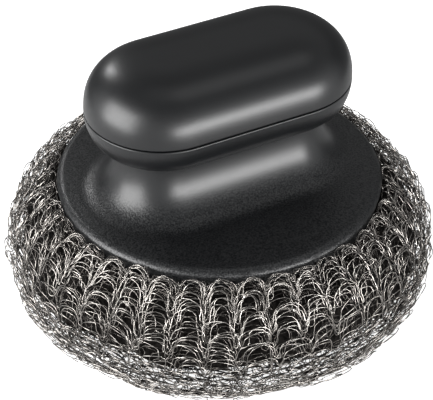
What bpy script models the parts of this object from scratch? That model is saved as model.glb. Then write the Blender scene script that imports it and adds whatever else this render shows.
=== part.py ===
"""Round grill scourer: a two-piece moulded palm grip over a ring-shaped cushion of knitted steel wire.

The part stands on the scourer's flat foot. The origin is under its centre, +Z is up, and the grip's
long axis lies along X. Lengths are in metres.
"""

import math

import bmesh
import bpy

MM = 0.001

# Clearances shared by all pieces
SEAT_GAP = 0.3 * MM
CUT_OVERRUN = 1.0 * MM
MERGE_DISTANCE = 0.01 * MM

# Scourer, a ring-shaped cushion of knitted wire
SCOURER_RADIUS = 59.2 * MM
CREST_RADIUS = 37.4 * MM
CUSHION_EXPONENT = 1.9
FOOT_CUT = 0.5 * MM
SEAT_HEIGHT = 36.7 * MM
SEAT_SINK = 7.8 * MM
SLEEVE_WALL = 3.2 * MM
RIM_MARGIN = 1.0 * MM
WALES = 40
COURSES = 16
PLEAT_DEPTH = 1.8 * MM
COURSE_DEPTH = 0.45 * MM
PLEAT_FADE = 5.0 * MM
UNDERSIDE_PLEAT_SHARE = 0.6
COLUMNS_PER_WALE = 2

# Eyelet that gathers the knit round the centre hole
EYELET_BORE_RADIUS = 4.6 * MM
EYELET_WALL = 0.8 * MM
FLANGE_RADIUS = 9.0 * MM
FLANGE_THICKNESS = 0.7 * MM

# Retainer: knob, stud and washer
KNOB_RADIUS = 12.0 * MM
KNOB_HEIGHT = 8.0 * MM
KNOB_LOBES = 6
KNOB_LOBE_DEPTH = 1.6 * MM
KNOB_EDGE = 0.8 * MM
KNOB_GROUND_CLEARANCE = 6.2 * MM
STUD_RADIUS = 4.0 * MM
STUD_HEAD_RADIUS = 7.0 * MM
STUD_HEAD_HEIGHT = 5.0 * MM
STUD_POINT = 1.0 * MM
THREAD_ENGAGEMENT = 10.0 * MM
WASHER_RADIUS = 17.0 * MM
WASHER_THICKNESS = 1.6 * MM
FINGER_ROOM = 6.4 * MM

# Handle body: lower half of the grip, neck and skirt
SKIRT_RADIUS = 45.0 * MM
SKIRT_EDGE_HEIGHT = 5.1 * MM
SKIRT_EDGE_ROUND = 2.0 * MM
SKIRT_FALL = 0.3 * MM
FLARE_REACH = 12.0 * MM
WAIST_HEIGHT = 21.2 * MM
WAIST_RADIUS = 12.8 * MM
WAIST_FILLET = 2.2 * MM
SEAM_HEIGHT = 32.6 * MM
WALL = 2.2 * MM

# Grip: a stadium in plan, two half circles whose centres lie on the X axis
GRIP_CENTRE_X = 16.9 * MM
GRIP_RADIUS = 20.8 * MM
COVER_HEIGHT = 15.0 * MM
COVER_FLAT_RADIUS = 2.4 * MM
COVER_EXPONENT = 2.38
TONGUE_THICKNESS = 1.0 * MM
TONGUE_HEIGHT = 1.8 * MM

# Web in the neck and the two screws through it
WEB_THICKNESS = 2.4 * MM
COVER_SCREW_X = 16.0 * MM
COVER_SCREW_LENGTH = 16.0 * MM
COVER_SCREW_HEAD_HEIGHT = 2.0 * MM
SCREW_RADIUS = 1.5 * MM
SCREW_HEAD_RADIUS = 3.1 * MM
SCREW_POINT = 1.2 * MM
BOSS_RADIUS = 3.6 * MM

# Stiffening ribs
COVER_RIB_THICKNESS = 1.4 * MM
COVER_RIB_HEIGHT = 6.0 * MM
COVER_RIB_HALF_WIDTH = 10.0 * MM
COVER_RIBS_X_SHARES = (-0.5, 0.0, 0.5)
SKIRT_RIB_THICKNESS = 1.6 * MM
SKIRT_RIB_INNER_RADIUS = 14.0 * MM
SKIRT_RIB_OUTER_RADIUS = 38.0 * MM
SKIRT_RIBS = 8

# Backing plate, its screws and the insert in its boss
PLATE_THICKNESS = 2.2 * MM
PLATE_BOSS_WALL = 1.8 * MM
PLATE_SCREW_CIRCLE = 22.0 * MM
PLATE_SCREWS = 4
PLATE_SCREW_LENGTH = 6.5 * MM
PLATE_SCREW_HEAD_HEIGHT = 1.5 * MM
INSERT_RADIUS = 7.2 * MM
INSERT_FLOOR = 1.0 * MM
INSERT_HEIGHT = 10.0 * MM

# How finely the round shapes are cut
RING_POINTS = 48
TURN_STEPS = 28
SCREW_STEPS = 12
CORE_STEPS = 32

# Heights that follow from the sizes above
SCOURER_LOFT = SEAT_HEIGHT + SEAT_SINK
RIM_HEIGHT = SEAT_HEIGHT + SEAT_GAP
SKIRT_SHOULDER = RIM_HEIGHT + SKIRT_EDGE_HEIGHT
WAIST = RIM_HEIGHT + WAIST_HEIGHT
SEAM = RIM_HEIGHT + SEAM_HEIGHT
GRIP_TOP = SEAM + COVER_HEIGHT
WEB_TOP = WAIST
WEB_UNDERSIDE = WEB_TOP - WEB_THICKNESS
PLATE_TOP = RIM_HEIGHT + PLATE_THICKNESS
INSERT_UNDERSIDE = PLATE_TOP + INSERT_FLOOR + SEAT_GAP
INSERT_TOP = INSERT_UNDERSIDE + INSERT_HEIGHT
KNOB_TOP = KNOB_GROUND_CLEARANCE + KNOB_HEIGHT
WASHER_UNDERSIDE = KNOB_TOP + SEAT_GAP
WASHER_TOP = WASHER_UNDERSIDE + WASHER_THICKNESS
RECESS_TOP = WASHER_TOP + SEAT_GAP
RECESS_RADIUS = max(WASHER_RADIUS + SEAT_GAP, KNOB_RADIUS + FINGER_ROOM)
HOLE_RADIUS = EYELET_BORE_RADIUS + EYELET_WALL + SEAT_GAP
GATHER_TOP = SEAT_HEIGHT - FLANGE_THICKNESS - SEAT_GAP
GATHER_UNDERSIDE = RECESS_TOP + FLANGE_THICKNESS + SEAT_GAP
STUD_TOP = INSERT_UNDERSIDE + THREAD_ENGAGEMENT


def fresh_scene():
    """Clears the scene and makes one collection for the parts and one for the cutters."""
    for obj in list(bpy.data.objects):
        bpy.data.objects.remove(obj, do_unlink=True)
    for name in ("grill_scourer", "cutters"):
        collection = bpy.data.collections.new(name)
        bpy.context.scene.collection.children.link(collection)
    bpy.data.collections["cutters"].hide_render = True


def finish(name, colour, roughness, metallic):
    """A plain Principled material."""
    material = bpy.data.materials.new(name)
    material.use_nodes = True
    shader = material.node_tree.nodes["Principled BSDF"]
    shader.inputs["Base Color"].default_value = (*colour, 1)
    shader.inputs["Roughness"].default_value = roughness
    shader.inputs["Metallic"].default_value = metallic
    material.diffuse_color = (*colour, 1)
    return material


def add_part(name, mesh, material, parent):
    """Puts a mesh in the parts collection under its name, with its material and its body's empty."""
    obj = bpy.data.objects.new(name, mesh)
    bpy.data.collections["grill_scourer"].objects.link(obj)
    obj.data.materials.clear()
    obj.data.materials.append(material)
    obj.parent = parent
    return obj


def add_cutter(name, mesh):
    """Puts a helper mesh in the cutters collection, out of the render."""
    obj = bpy.data.objects.new(name, mesh)
    bpy.data.collections["cutters"].objects.link(obj)
    obj.hide_render = True
    obj.display_type = "WIRE"
    return obj


def body_empty(name):
    """An empty on the Z axis that the pieces of one moving body hang from."""
    empty = bpy.data.objects.new(name, None)
    bpy.data.collections["grill_scourer"].objects.link(empty)
    return empty


def boolean(target, tool, operation):
    """Joins, cuts or trims the target with a tool from the cutters collection."""
    modifier = target.modifiers.new(f"{operation.lower()} {tool.name}", "BOOLEAN")
    modifier.operation = operation
    modifier.object = tool


def smooth(obj, angle=math.radians(35)):
    """Shades a finished mesh smooth, with its sharp edges kept."""
    obj.data.shade_smooth()
    obj.data.set_sharp_from_angle(angle=angle)


def ramp(count):
    """The numbers from 0 to 1 in even steps, both ends included."""
    return [index / (count - 1) for index in range(count)]


def stadium(centre_x, radius, height, count=RING_POINTS):
    """Evenly spaced points round two half circles and the straight sides between them."""
    quarter = math.pi * radius / 2
    sides = 2 * centre_x
    length = 4 * quarter + 2 * sides
    points = []
    for index in range(count):
        along = length * index / count
        if along <= quarter:
            turn = along / radius
            point = (centre_x + radius * math.cos(turn), radius * math.sin(turn))
        elif along <= quarter + sides:
            point = (centre_x - (along - quarter), radius)
        elif along <= 3 * quarter + sides:
            turn = (along - sides) / radius
            point = (-centre_x + radius * math.cos(turn), radius * math.sin(turn))
        elif along <= 3 * quarter + 2 * sides:
            point = (-centre_x + (along - 3 * quarter - sides), -radius)
        else:
            turn = (along - 2 * sides) / radius
            point = (centre_x + radius * math.cos(turn), radius * math.sin(turn))
        points.append((*point, height))
    return points


def loft(name, rings, capped):
    """A closed mesh through rings of points: capped at both ends, or joined last to first."""
    bm = bmesh.new()
    loops = [[bm.verts.new(point) for point in ring] for ring in rings]
    pairs = list(zip(loops, loops[1:]))
    if capped:
        bm.faces.new(loops[0])
        bm.faces.new(loops[-1])
    else:
        pairs.append((loops[-1], loops[0]))
    for upper, lower in pairs:
        for index, vert in enumerate(upper):
            before = index - 1
            bm.faces.new((upper[before], vert, lower[index], lower[before]))
    bmesh.ops.recalc_face_normals(bm, faces=bm.faces)
    mesh = bpy.data.meshes.new(name)
    bm.to_mesh(mesh)
    bm.free()
    return mesh


def profile_mesh(name, points, closed):
    """The edges of a profile in the XZ plane, for a Screw modifier to turn."""
    mesh = bpy.data.meshes.new(name)
    edges = [(index, index + 1) for index in range(len(points) - 1)]
    if closed:
        edges.append((len(points) - 1, 0))
    mesh.from_pydata([(radius, 0, height) for radius, height in points], edges, [])
    return mesh


def turn(obj, steps):
    """Turns a profile round the Z axis. Its points run down the outer side, top to bottom."""
    modifier = obj.modifiers.new("turned", "SCREW")
    modifier.steps = steps
    modifier.render_steps = steps
    modifier.use_merge_vertices = True
    modifier.merge_threshold = MERGE_DISTANCE
    modifier.use_smooth_shade = True


def post(name, radius, low, high, place=(0, 0), sides=TURN_STEPS, turn_by=0.0):
    """An upright cylinder or prism in the cutters collection."""
    bm = bmesh.new()
    bmesh.ops.create_cone(
        bm,
        cap_ends=True,
        segments=sides,
        radius1=radius,
        radius2=radius,
        depth=high - low,
    )
    mesh = bpy.data.meshes.new(name)
    bm.to_mesh(mesh)
    bm.free()
    obj = add_cutter(name, mesh)
    obj.location = (*place, (low + high) / 2)
    obj.rotation_euler.z = turn_by
    return obj


def block(name, low, high, turn_by=0.0):
    """A box between two corners, turned about the Z axis, in the cutters collection."""
    bm = bmesh.new()
    bmesh.ops.create_cube(bm, size=1)
    sides = [b - a for a, b in zip(low, high)]
    centre = [(a + b) / 2 for a, b in zip(low, high)]
    bmesh.ops.scale(bm, verts=bm.verts, vec=sides)
    bmesh.ops.translate(bm, verts=bm.verts, vec=centre)
    mesh = bpy.data.meshes.new(name)
    bm.to_mesh(mesh)
    bm.free()
    obj = add_cutter(name, mesh)
    obj.rotation_euler.z = turn_by
    return obj


def handle_path(inset, arc_points, flare_points):
    """The handle's side from the seam down to the rim, as (centre x, radius, height).

    The path is set in from the outer surface: by nothing outside, by the wall inside.
    """
    path = []
    shelf = WAIST + WAIST_FILLET
    shelf_radius = WAIST_RADIUS + WAIST_FILLET
    across = GRIP_RADIUS - shelf_radius - inset
    down = SEAM - shelf - inset
    for share in ramp(arc_points):
        angle = share * math.pi / 2
        radius = shelf_radius + across * math.cos(angle)
        path.append((GRIP_CENTRE_X, radius, SEAM - down * math.sin(angle)))
    fillet = WAIST_FILLET + inset
    for share in ramp(arc_points)[1:]:
        angle = share * math.pi / 2
        radius = shelf_radius - fillet * math.sin(angle)
        path.append((GRIP_CENTRE_X, radius, WAIST + fillet * math.cos(angle)))
    shoulder = SKIRT_SHOULDER - inset
    flare_radius = WAIST_RADIUS + FLARE_REACH
    flare_drop = WAIST - SKIRT_SHOULDER - SKIRT_FALL + inset
    for share in ramp(flare_points)[1:]:
        angle = share * math.pi / 2
        radius = flare_radius - (FLARE_REACH + inset) * math.cos(angle)
        path.append((GRIP_CENTRE_X, radius, WAIST - flare_drop * math.sin(angle)))
    edge_round = max(SKIRT_EDGE_ROUND - inset, 0)
    wide = SKIRT_RADIUS - inset - edge_round
    for share in ramp(4)[1:]:
        radius = flare_radius + (wide - flare_radius) * share
        path.append((GRIP_CENTRE_X * (1 - share), radius, shoulder + SKIRT_FALL * (1 - share)))
    if edge_round:
        for share in ramp(4)[1:]:
            angle = share * math.pi / 2
            radius = wide + edge_round * math.sin(angle)
            path.append((0, radius, shoulder - edge_round * (1 - math.cos(angle))))
    path.append((0, SKIRT_RADIUS - inset, RIM_HEIGHT))
    return path


def handle_body(material, parent):
    """The lower grip, neck and skirt as one shell, with its web, bosses and ribs inside."""
    outer = handle_path(0, arc_points=6, flare_points=10)
    inner = handle_path(WALL, arc_points=3, flare_points=6)
    inner.reverse()
    seam_top = SEAM - SEAT_GAP / 2
    outer[0] = (*outer[0][:2], seam_top)
    rebate_radius = GRIP_RADIUS - WALL + TONGUE_THICKNESS + SEAT_GAP
    rebate_floor = SEAM - TONGUE_HEIGHT - SEAT_GAP
    inner[-1] = (*inner[-1][:2], rebate_floor)
    groove = [(GRIP_CENTRE_X, rebate_radius, rebate_floor), (GRIP_CENTRE_X, rebate_radius, seam_top)]
    rings = [stadium(*point) for point in outer + inner + groove]
    body = add_part("handle_body", loft("handle_body", rings, capped=False), material, parent)

    middle = handle_path(WALL / 2, arc_points=4, flare_points=8)
    envelope = add_cutter("handle_envelope", loft("handle_envelope", [stadium(*p) for p in middle], True))
    web_radius = WAIST_RADIUS - WALL / 2
    web_rings = [stadium(GRIP_CENTRE_X, web_radius, height) for height in (WEB_TOP, WEB_UNDERSIDE)]
    inside = [add_cutter("neck_web", loft("neck_web", web_rings, capped=True))]
    foot = PLATE_TOP + SEAT_GAP
    for index, place in enumerate(plate_screw_places()):
        inside.append(post(f"skirt_boss_{index + 1}", BOSS_RADIUS, foot, WEB_UNDERSIDE, place))
    for index in range(SKIRT_RIBS):
        low = (SKIRT_RIB_INNER_RADIUS, -SKIRT_RIB_THICKNESS / 2, foot)
        high = (SKIRT_RIB_OUTER_RADIUS, SKIRT_RIB_THICKNESS / 2, WEB_UNDERSIDE)
        turn_by = 2 * math.pi * (index + 0.5) / SKIRT_RIBS
        inside.append(block(f"skirt_rib_{index + 1}", low, high, turn_by))
    for feature in inside:
        boolean(feature, envelope, "INTERSECT")
        boolean(body, feature, "UNION")

    for side in (-1, 1):
        hole = post(
            f"web_hole_{side + 2}",
            SCREW_RADIUS + SEAT_GAP,
            WEB_UNDERSIDE - CUT_OVERRUN,
            WEB_TOP + CUT_OVERRUN,
            (side * COVER_SCREW_X, 0),
            SCREW_STEPS,
        )
        boolean(body, hole, "DIFFERENCE")
    for index, place in enumerate(plate_screw_places()):
        top = RIM_HEIGHT + PLATE_SCREW_LENGTH + SEAT_GAP
        hole = post(f"boss_hole_{index + 1}", SCREW_RADIUS + SEAT_GAP, RIM_HEIGHT, top, place, SCREW_STEPS)
        boolean(body, hole, "DIFFERENCE")
    smooth(body)


def cover_side(inset, count):
    """The cover's side from its flat top down to the seam, as (centre x, radius, height)."""
    across = GRIP_RADIUS - COVER_FLAT_RADIUS - inset
    path = []
    for share in ramp(count):
        angle = (1 - share) * math.pi / 2
        radius = COVER_FLAT_RADIUS + across * math.cos(angle) ** (2 / COVER_EXPONENT)
        height = SEAM + (COVER_HEIGHT - inset) * math.sin(angle) ** (2 / COVER_EXPONENT)
        path.append((GRIP_CENTRE_X, radius, height))
    return path


def grip_cover(material, parent):
    """The upper shell of the grip, with a tongue that drops inside the body's wall."""
    outer = cover_side(0, count=11)
    inner = cover_side(WALL, count=6)
    inner.reverse()
    foot = SEAM + SEAT_GAP / 2
    outer[-1] = (*outer[-1][:2], foot)
    tongue_outer = GRIP_RADIUS - WALL + TONGUE_THICKNESS
    tongue_foot = SEAM - TONGUE_HEIGHT
    tongue = [
        (GRIP_CENTRE_X, tongue_outer, foot),
        (GRIP_CENTRE_X, tongue_outer, tongue_foot),
        (GRIP_CENTRE_X, GRIP_RADIUS - WALL, tongue_foot),
    ]
    rings = [stadium(*point) for point in outer + tongue + inner[1:]]
    cover = add_part("grip_cover", loft("grip_cover", rings, capped=True), material, parent)
    ceiling = GRIP_TOP - WALL / 2
    for side in (-1, 1):
        place = (side * COVER_SCREW_X, 0)
        boss = post(f"cover_boss_{side + 2}", BOSS_RADIUS, WEB_TOP + SEAT_GAP, ceiling, place, TURN_STEPS // 2)
        boolean(cover, boss, "UNION")
        bore_top = WEB_UNDERSIDE + COVER_SCREW_LENGTH
        bore = post(
            f"cover_bore_{side + 2}",
            SCREW_RADIUS + SEAT_GAP,
            WEB_TOP - CUT_OVERRUN,
            bore_top,
            place,
            SCREW_STEPS,
        )
        boolean(cover, bore, "DIFFERENCE")
    rib_foot = ceiling - COVER_RIB_HEIGHT
    for index, share in enumerate(COVER_RIBS_X_SHARES):
        x = share * COVER_SCREW_X
        low = (x - COVER_RIB_THICKNESS / 2, -COVER_RIB_HALF_WIDTH, rib_foot)
        high = (x + COVER_RIB_THICKNESS / 2, COVER_RIB_HALF_WIDTH, GRIP_TOP - WALL * 3 / 4)
        boolean(cover, block(f"cover_rib_{index + 1}", low, high), "UNION")
    smooth(cover)


def plate_screw_places():
    """The plan positions of the screws that hold the backing plate, between the skirt's ribs."""
    places = []
    for index in range(PLATE_SCREWS):
        angle = 2 * math.pi * (index + 0.5) / PLATE_SCREWS
        places.append((PLATE_SCREW_CIRCLE * math.cos(angle), PLATE_SCREW_CIRCLE * math.sin(angle)))
    return places


def cover_screws(material, parent):
    """Two round-headed screws, heads under the web and points up in the cover's bosses."""
    head_top = WEB_UNDERSIDE - SEAT_GAP
    tip = head_top + COVER_SCREW_LENGTH
    head_foot = head_top - COVER_SCREW_HEAD_HEIGHT
    profile = [
        (0, tip),
        (SCREW_RADIUS, tip - SCREW_POINT),
        (SCREW_RADIUS, head_top),
        (SCREW_HEAD_RADIUS, head_top),
        (SCREW_HEAD_RADIUS, head_top - COVER_SCREW_HEAD_HEIGHT / 2),
        (SCREW_HEAD_RADIUS - COVER_SCREW_HEAD_HEIGHT / 2, head_foot),
        (0, head_foot),
    ]
    mesh = profile_mesh("cover_screw", profile, closed=False)
    for name, side in (("cover_screw_left", -1), ("cover_screw_right", 1)):
        screw = add_part(name, mesh, material, parent)
        screw.location.x = side * COVER_SCREW_X
        turn(screw, SCREW_STEPS)


def plate_screws(material, parent):
    """Four countersunk screws, flush with the plate's underside, up into the skirt's bosses."""
    tip = RIM_HEIGHT + PLATE_SCREW_LENGTH
    profile = [
        (0, tip),
        (SCREW_RADIUS, tip - SCREW_POINT),
        (SCREW_RADIUS, RIM_HEIGHT + PLATE_SCREW_HEAD_HEIGHT),
        (SCREW_HEAD_RADIUS, RIM_HEIGHT + SEAT_GAP),
        (SCREW_HEAD_RADIUS, RIM_HEIGHT),
        (0, RIM_HEIGHT),
    ]
    mesh = profile_mesh("plate_screw", profile, closed=False)
    for index, place in enumerate(plate_screw_places()):
        screw = add_part(f"plate_screw_{index + 1}", mesh, material, parent)
        screw.location = (*place, 0)
        turn(screw, SCREW_STEPS)


def backing_plate(material, parent):
    """The disc that closes the skirt, with a boss round the insert and countersunk screw holes."""
    bore = STUD_RADIUS + SEAT_GAP
    boss = INSERT_RADIUS + SEAT_GAP + PLATE_BOSS_WALL
    edge = SKIRT_RADIUS - WALL - SEAT_GAP
    profile = [
        (bore, INSERT_TOP),
        (boss, INSERT_TOP),
        (boss, PLATE_TOP),
        (edge - SEAT_GAP, PLATE_TOP),
        (edge, PLATE_TOP - SEAT_GAP),
        (edge, RIM_HEIGHT),
        (bore, RIM_HEIGHT),
    ]
    plate = add_part("backing_plate", profile_mesh("backing_plate", profile, True), material, parent)
    turn(plate, TURN_STEPS)
    pocket = post(
        "insert_pocket",
        INSERT_RADIUS + SEAT_GAP,
        PLATE_TOP + INSERT_FLOOR,
        INSERT_TOP + CUT_OVERRUN,
        sides=6,
    )
    boolean(plate, pocket, "DIFFERENCE")
    head_top = RIM_HEIGHT + PLATE_SCREW_HEAD_HEIGHT + SEAT_GAP
    sink = [
        (0, PLATE_TOP + CUT_OVERRUN),
        (SCREW_RADIUS + SEAT_GAP, PLATE_TOP + CUT_OVERRUN),
        (SCREW_RADIUS + SEAT_GAP, head_top),
        (SCREW_HEAD_RADIUS + SEAT_GAP, RIM_HEIGHT + SEAT_GAP),
        (SCREW_HEAD_RADIUS + SEAT_GAP, RIM_HEIGHT - CUT_OVERRUN),
        (0, RIM_HEIGHT - CUT_OVERRUN),
    ]
    for index, place in enumerate(plate_screw_places()):
        cutter = add_cutter(f"countersink_{index + 1}", profile_mesh("countersink", sink, False))
        cutter.location = (*place, 0)
        turn(cutter, SCREW_STEPS)
        boolean(plate, cutter, "DIFFERENCE")


def threaded_insert(material, parent):
    """The hexagonal insert in the plate's boss. Its thread is left out of the bore."""
    hexagon = post("insert_hexagon", INSERT_RADIUS, INSERT_UNDERSIDE, INSERT_TOP, sides=6)
    insert = add_part("threaded_insert", hexagon.data, material, parent)
    insert.location = hexagon.location
    bpy.data.objects.remove(hexagon)
    bore = post(
        "insert_bore",
        STUD_RADIUS + SEAT_GAP,
        INSERT_UNDERSIDE - CUT_OVERRUN,
        INSERT_TOP + CUT_OVERRUN,
        sides=TURN_STEPS // 2,
    )
    boolean(insert, bore, "DIFFERENCE")


def cushion_path(inset, courses):
    """The cushion's section from its centre hole's top, round the outside, to the hole's foot.

    Each point is (radius, height, pleat), where pleat is the share of the full pleat depth there.
    """
    across = SCOURER_RADIUS - CREST_RADIUS - inset
    half_loft = SCOURER_LOFT / 2 - inset
    middle = SCOURER_LOFT / 2 - FOOT_CUT
    power = 2 / CUSHION_EXPONENT
    path = [(HOLE_RADIUS, GATHER_TOP - inset, 0)]
    if inset:
        seat = (SEAT_HEIGHT - inset - middle) / half_loft
        start = math.asin(seat ** (1 / power))
    else:
        step = FLANGE_RADIUS + SEAT_GAP
        rim = SKIRT_RADIUS + SEAT_GAP
        path += [(step, GATHER_TOP, 0), (step + SEAT_GAP, SEAT_HEIGHT, 0), (rim, SEAT_HEIGHT, 0)]
        start = math.acos(((rim + RIM_MARGIN - CREST_RADIUS) / across) ** (1 / power))
    foot_share = (middle - inset) / half_loft
    end = -math.asin(foot_share ** (1 / power))
    for share in ramp(courses):
        angle = start + (end - start) * share
        radius = CREST_RADIUS + across * math.cos(angle) ** power
        height = middle + half_loft * math.copysign(abs(math.sin(angle)) ** power, angle)
        path.append((radius, height, min((height - inset) / PLEAT_FADE, 1)))
    foot_inner = 2 * CREST_RADIUS - path[-1][0]
    recess = RECESS_RADIUS + inset
    for share in ramp(3 if inset else 5):
        angle = share * math.pi / 2
        radius = foot_inner - (foot_inner - recess) * math.sin(angle)
        height = KNOB_TOP - (KNOB_TOP - inset) * math.cos(angle)
        pleat = UNDERSIDE_PLEAT_SHARE * math.sin(2 * angle)
        path.append((radius, height, pleat))
    path.append((recess, RECESS_TOP + inset, 0))
    if not inset:
        step = FLANGE_RADIUS + SEAT_GAP
        path += [(step, RECESS_TOP, 0), (step - SEAT_GAP, GATHER_UNDERSIDE, 0)]
    path.append((HOLE_RADIUS, GATHER_UNDERSIDE + inset, 0))
    return path


def pleated_rings(path, columns):
    """Rings of points round the Z axis, sunk between the columns of loops and between courses."""
    rings = []
    for index, (radius, height, pleat) in enumerate(path):
        before = path[max(index - 1, 0)]
        after = path[min(index + 1, len(path) - 1)]
        run = math.hypot(after[0] - before[0], after[1] - before[1])
        out = (-(after[1] - before[1]) / run, (after[0] - before[0]) / run)
        ring = []
        for column in range(columns):
            angle = 2 * math.pi * column / columns
            valley = (1 - math.cos(WALES * angle)) / 2
            depth = pleat * (PLEAT_DEPTH * valley + COURSE_DEPTH * (index % 2))
            reach = radius - depth * out[0]
            ring.append((reach * math.cos(angle), reach * math.sin(angle), height - depth * out[1]))
        rings.append(ring)
    return rings


def scourer(wire, parent):
    """The knitted sleeve, pleated along its columns of loops, and the rolled knit inside it."""
    columns = WALES * COLUMNS_PER_WALE
    outside = cushion_path(0, COURSES)
    cavity = cushion_path(SLEEVE_WALL, COURSES // 3)
    cavity.reverse()
    rings = pleated_rings(outside, columns) + pleated_rings([(r, z, 0) for r, z, _ in cavity], columns)
    sleeve = add_part("scourer_sleeve", loft("scourer_sleeve", rings, capped=False), wire, parent)
    smooth(sleeve)
    section = [(r, z) for r, z, _ in cushion_path(SLEEVE_WALL + SEAT_GAP, COURSES // 3)]
    core = add_part("scourer_core", profile_mesh("scourer_core", section, True), wire, parent)
    turn(core, CORE_STEPS)


def centre_eyelet(material, parent):
    """The rolled eyelet that gathers the knit between two flanges."""
    tube = EYELET_BORE_RADIUS + EYELET_WALL
    profile = [
        (EYELET_BORE_RADIUS, SEAT_HEIGHT),
        (FLANGE_RADIUS, SEAT_HEIGHT),
        (FLANGE_RADIUS, SEAT_HEIGHT - FLANGE_THICKNESS),
        (tube, SEAT_HEIGHT - FLANGE_THICKNESS),
        (tube, RECESS_TOP + FLANGE_THICKNESS),
        (FLANGE_RADIUS, RECESS_TOP + FLANGE_THICKNESS),
        (FLANGE_RADIUS, RECESS_TOP),
        (EYELET_BORE_RADIUS, RECESS_TOP),
    ]
    eyelet = add_part("centre_eyelet", profile_mesh("centre_eyelet", profile, True), material, parent)
    turn(eyelet, TURN_STEPS)


def retainer_washer(material, parent):
    """The wide washer between the knob and the gathered knit, with a rounded outer edge."""
    edge = WASHER_THICKNESS / 4
    bore = STUD_RADIUS + SEAT_GAP
    profile = [
        (bore, WASHER_TOP),
        (WASHER_RADIUS - edge, WASHER_TOP),
        (WASHER_RADIUS, WASHER_TOP - edge),
        (WASHER_RADIUS, WASHER_UNDERSIDE + edge),
        (WASHER_RADIUS - edge, WASHER_UNDERSIDE),
        (bore, WASHER_UNDERSIDE),
    ]
    washer = add_part("retainer_washer", profile_mesh("retainer_washer", profile, True), material, parent)
    turn(washer, TURN_STEPS)


def knob_outline(count):
    """A circle drawn in between the lobes that the fingers turn it by."""
    points = []
    for index in range(count):
        angle = 2 * math.pi * index / count
        radius = KNOB_RADIUS - KNOB_LOBE_DEPTH * (1 - math.cos(KNOB_LOBES * angle)) / 2
        points.append((radius * math.cos(angle), radius * math.sin(angle)))
    return points


def retainer_knob(material, parent):
    """The lobed knob, a flat outline with rounded edges and a pocket for the stud's head."""
    curve = bpy.data.curves.new("knob_outline", "CURVE")
    curve.dimensions = "2D"
    curve.fill_mode = "BOTH"
    curve.extrude = KNOB_HEIGHT / 2 - KNOB_EDGE
    curve.bevel_depth = KNOB_EDGE
    curve.bevel_resolution = 1
    curve.offset = -KNOB_EDGE
    outline = knob_outline(KNOB_LOBES * 6)
    spline = curve.splines.new("POLY")
    spline.use_cyclic_u = True
    spline.points.add(len(outline) - 1)
    for point, place in zip(spline.points, outline):
        point.co = (*place, 0, 1)
    guide = bpy.data.objects.new("knob_outline", curve)
    bpy.data.collections["cutters"].objects.link(guide)
    graph = bpy.context.evaluated_depsgraph_get()
    mesh = bpy.data.meshes.new_from_object(guide.evaluated_get(graph))
    bpy.data.objects.remove(guide)
    bm = bmesh.new()
    bm.from_mesh(mesh)
    bmesh.ops.remove_doubles(bm, verts=bm.verts, dist=MERGE_DISTANCE)
    bmesh.ops.recalc_face_normals(bm, faces=bm.faces)
    bm.to_mesh(mesh)
    bm.free()
    knob = add_part("retainer_knob", mesh, material, parent)
    knob.location.z = KNOB_TOP - KNOB_HEIGHT / 2
    pocket = post(
        "stud_pocket",
        STUD_HEAD_RADIUS + SEAT_GAP,
        KNOB_TOP - STUD_HEAD_HEIGHT - SEAT_GAP,
        KNOB_TOP + CUT_OVERRUN,
        sides=6,
    )
    boolean(knob, pocket, "DIFFERENCE")


def retainer_stud(material, parent):
    """The stud that turns in the insert: a hexagonal head in the knob and a plain shank."""
    head = post("stud_head", STUD_HEAD_RADIUS, KNOB_TOP - STUD_HEAD_HEIGHT, KNOB_TOP, sides=6)
    middle = KNOB_TOP - STUD_HEAD_HEIGHT / 2
    profile = [
        (0, STUD_TOP),
        (STUD_RADIUS - STUD_POINT, STUD_TOP),
        (STUD_RADIUS, STUD_TOP - STUD_POINT),
        (STUD_RADIUS, middle),
        (0, middle),
    ]
    stud = add_part("retainer_stud", profile_mesh("retainer_stud", profile, False), material, parent)
    turn(stud, TURN_STEPS // 2)
    boolean(stud, head, "UNION")


def main():
    fresh_scene()
    plastic = finish("satin_black_plastic", (0.028, 0.030, 0.033), 0.38, 0)
    plate_plastic = finish("matte_black_plastic", (0.035, 0.036, 0.038), 0.6, 0)
    knob_plastic = finish("matte_grey_plastic", (0.06, 0.062, 0.066), 0.5, 0)
    steel = finish("zinc_plated_steel", (0.62, 0.62, 0.60), 0.35, 1)
    brass = finish("brass", (0.70, 0.52, 0.24), 0.35, 1)
    wire = finish("knitted_steel_wire", (0.46, 0.43, 0.40), 0.35, 1)

    handle = body_empty("handle_frame")
    head = body_empty("scourer_axis")
    retainer = body_empty("retainer_axis")
    grip_cover(plastic, handle)
    handle_body(plastic, handle)
    cover_screws(steel, handle)
    backing_plate(plate_plastic, handle)
    plate_screws(steel, handle)
    threaded_insert(brass, handle)
    scourer(wire, head)
    centre_eyelet(steel, head)
    retainer_washer(steel, head)
    retainer_knob(knob_plastic, retainer)
    retainer_stud(steel, retainer)


main()
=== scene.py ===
"""Round hand scourer for grill grates: a satin black palm grip over a cushion of knitted steel wire."""

import logging
import math
from dataclasses import dataclass
from enum import Enum
from typing import Iterable, Sequence

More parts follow.
